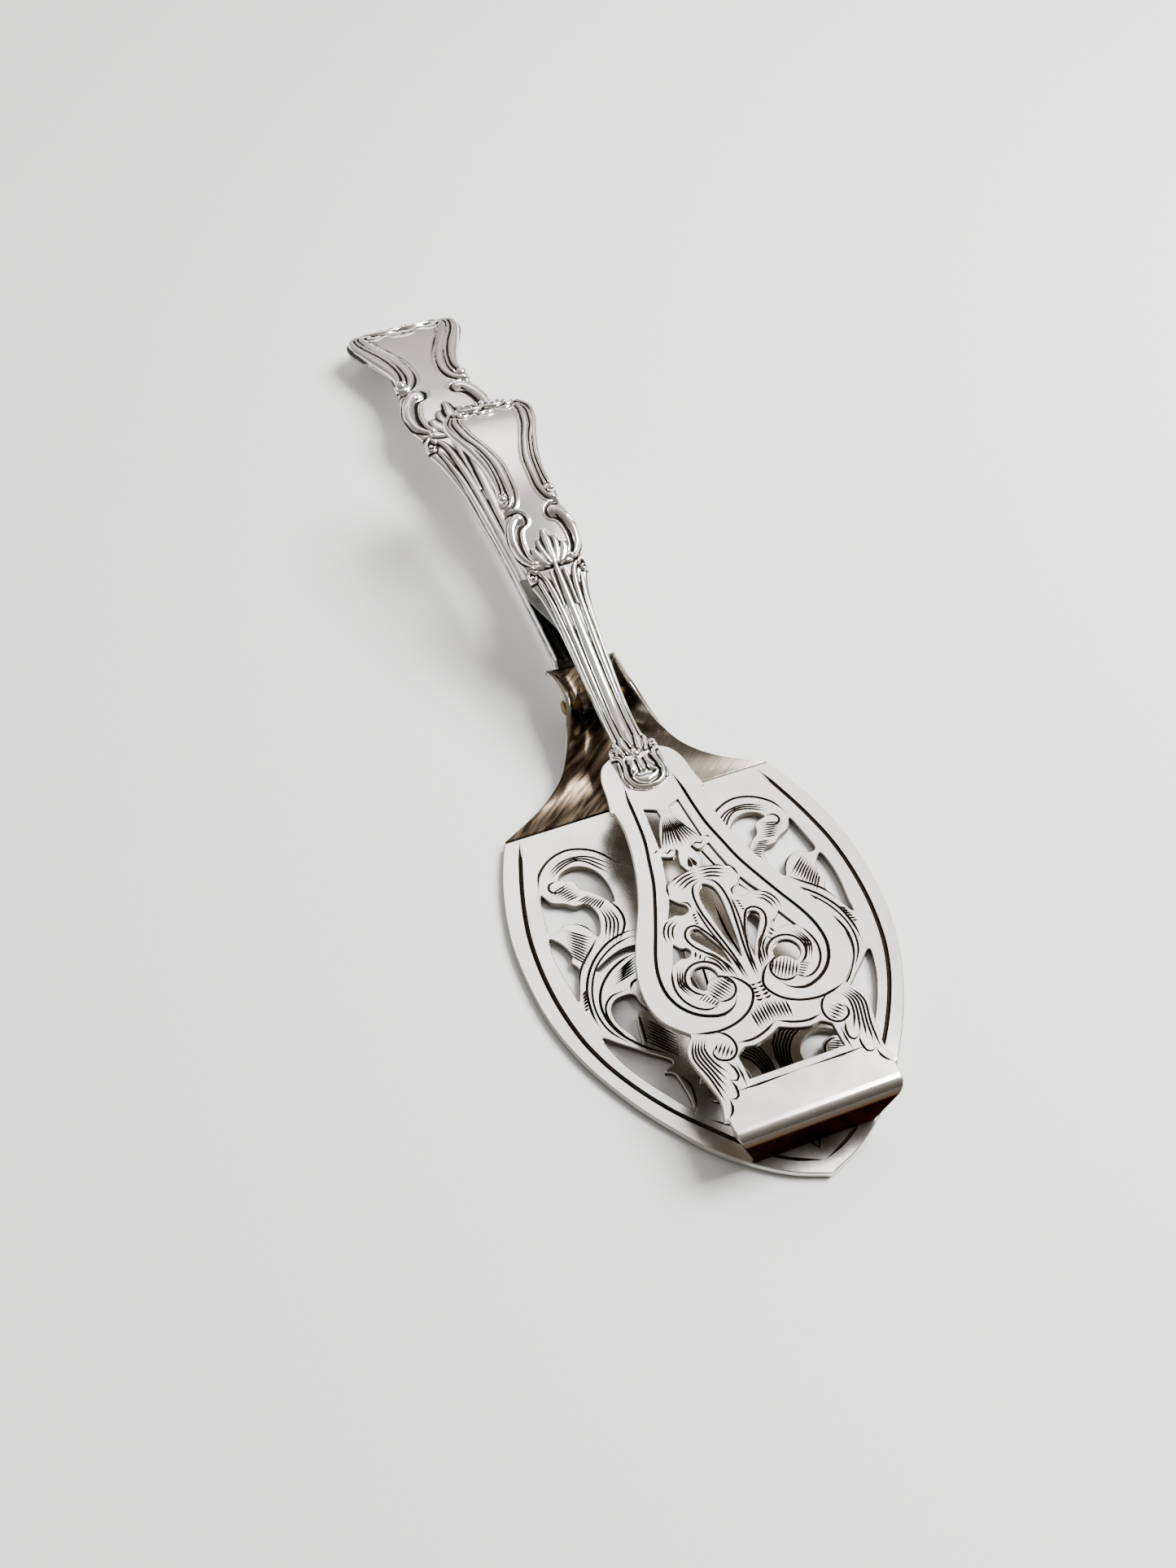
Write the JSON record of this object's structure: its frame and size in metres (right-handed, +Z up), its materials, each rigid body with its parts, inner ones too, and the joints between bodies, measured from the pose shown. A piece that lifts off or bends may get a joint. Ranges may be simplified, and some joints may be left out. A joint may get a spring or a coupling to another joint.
{
  "type": "ice tongs",
  "caption": "Sprung silver serving tongs: a broad pierced lower blade and a smaller pierced upper blade that a thumb handle lifts.",
  "frame": {"origin": "centre of the bounding box, on the table that the tongs lie on", "axes": "+X from the handle end to the blade tip, +Y across, +Z up"},
  "size_m": [0.25, 0.0714, 0.0339],
  "materials": {
    "polished_silver": "struck and polished sterling silver, dark in the grooves",
    "engraved_silver": "polished silver sheet, pierced and bright-cut engraved",
    "plain_silver": "filed and polished silver",
    "brass_pin": "filed brass, lightly tarnished",
    "spring_steel": "unpolished spring leaf with mottled tarnish"
  },
  "bodies": {
    "lower": {"lower_handle": "polished_silver", "lower_blade": "engraved_silver", "hinge_pin": "brass_pin", "leaf_spring": "spring_steel", "spring_rivet": "brass_pin"},
    "upper": {"upper_handle": "polished_silver", "upper_blade": "engraved_silver", "hinge_lug": "plain_silver"}
  },
  "joints": [
    {"name": "jaw_hinge", "type": "hinge", "parent": "lower", "child": "upper", "pos_m": [0.015, 0, 0.009], "axis": [0, -1, 0], "range_deg": [0, 13], "stiffness_Nm_per_rad": 1.2, "springref_deg": -6.88, "deforming": ["leaf_spring"]}
  ]
}
